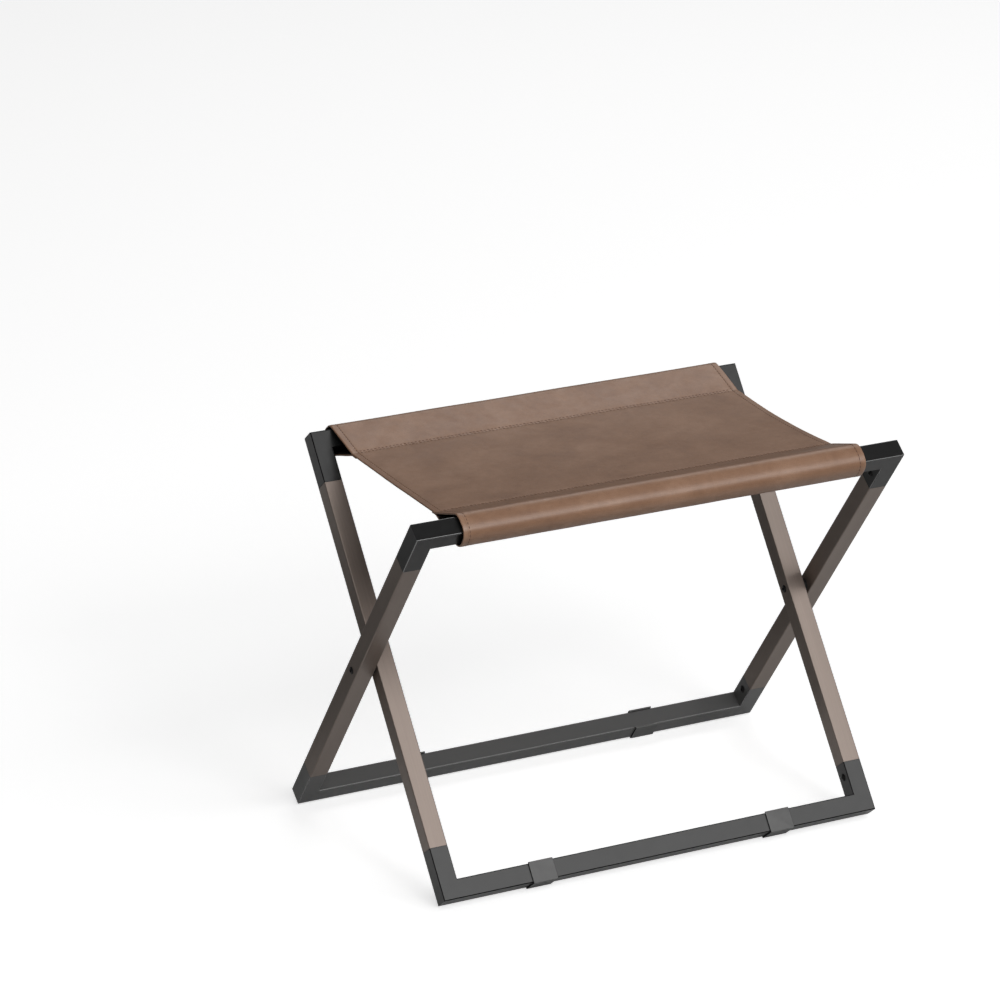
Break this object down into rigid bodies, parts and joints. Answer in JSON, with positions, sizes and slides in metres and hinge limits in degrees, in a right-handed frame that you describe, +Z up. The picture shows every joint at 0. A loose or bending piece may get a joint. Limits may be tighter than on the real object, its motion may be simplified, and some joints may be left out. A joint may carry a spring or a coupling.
{
  "type": "folding luggage rack",
  "caption": "Folding luggage rack: two square-tube frames crossed on pivots, a leather sling looped round the top rails, and clip-on foot pads.",
  "frame": {"origin": "on the floor, under the middle of the rack (bottom centre of its box)", "axes": "+X along the rails, to the right seen from the front; +Y to the back; +Z up"},
  "size_m": [0.6836, 0.4126, 0.5172],
  "materials": {
    "frame_dark": "fine matt powder coat, near black",
    "leg_bronze": "satin taupe bronze paint",
    "sling_leather": "brown mottled leather, low sheen",
    "pad_rubber": "matt dark grey rubber",
    "bolt_steel": "black oxide",
    "nylon_black": "black nylon"
  },
  "bodies": {
    "outer_frame": {"outer_top_rail": "frame_dark", "outer_bottom_rail": "frame_dark", "outer_top_stub_left": "frame_dark", "outer_top_stub_right": "frame_dark", "outer_bottom_stub_left": "frame_dark", "outer_bottom_stub_right": "frame_dark", "outer_leg_left": "leg_bronze", "outer_leg_right": "leg_bronze", "outer_corner_plugs": "nylon_black", "outer_corner_bolts": "bolt_steel", "outer_foot_pad_left": "pad_rubber", "outer_foot_pad_right": "pad_rubber", "pivot_bolt_left": "bolt_steel", "pivot_bolt_right": "bolt_steel", "pivot_nut_left": "bolt_steel", "pivot_nut_right": "bolt_steel", "pivot_sleeve_left": "bolt_steel", "pivot_sleeve_right": "bolt_steel", "pivot_spacer_left": "nylon_black", "pivot_spacer_right": "nylon_black"},
    "inner_frame": {"inner_top_rail": "frame_dark", "inner_bottom_rail": "frame_dark", "inner_top_stub_left": "frame_dark", "inner_top_stub_right": "frame_dark", "inner_bottom_stub_left": "frame_dark", "inner_bottom_stub_right": "frame_dark", "inner_leg_left": "leg_bronze", "inner_leg_right": "leg_bronze", "inner_corner_plugs": "nylon_black", "inner_corner_bolts": "bolt_steel", "inner_foot_pad_left": "pad_rubber", "inner_foot_pad_right": "pad_rubber", "pivot_bush_left": "nylon_black", "pivot_bush_right": "nylon_black"},
    "sling_front": {"sling_front": "sling_leather"},
    "sling_rear": {"sling_rear": "sling_leather"}
  },
  "joints": [
    {"name": "fold", "type": "hinge", "parent": "outer_frame", "child": "inner_frame", "pos_m": [0, 0, 0.258], "axis": [1, 0, 0], "range_deg": [0, 67]},
    {"name": "sling_front_turn", "type": "hinge", "parent": "outer_frame", "child": "sling_front", "pos_m": [0, -0.18582, 0.49669], "axis": [1, 0, 0], "range_deg": [-50, 0], "deforming": ["sling_front"]},
    {"name": "sling_rear_turn", "type": "hinge", "parent": "inner_frame", "child": "sling_rear", "pos_m": [0, 0.18582, 0.49669], "axis": [1, 0, 0], "range_deg": [0, 50], "deforming": ["sling_rear"]}
  ],
  "couplings": [
    {"joint": "sling_front_turn", "follows": "fold", "ratio": -0.7362},
    {"joint": "sling_rear_turn", "follows": "fold", "ratio": 0.7362}
  ]
}
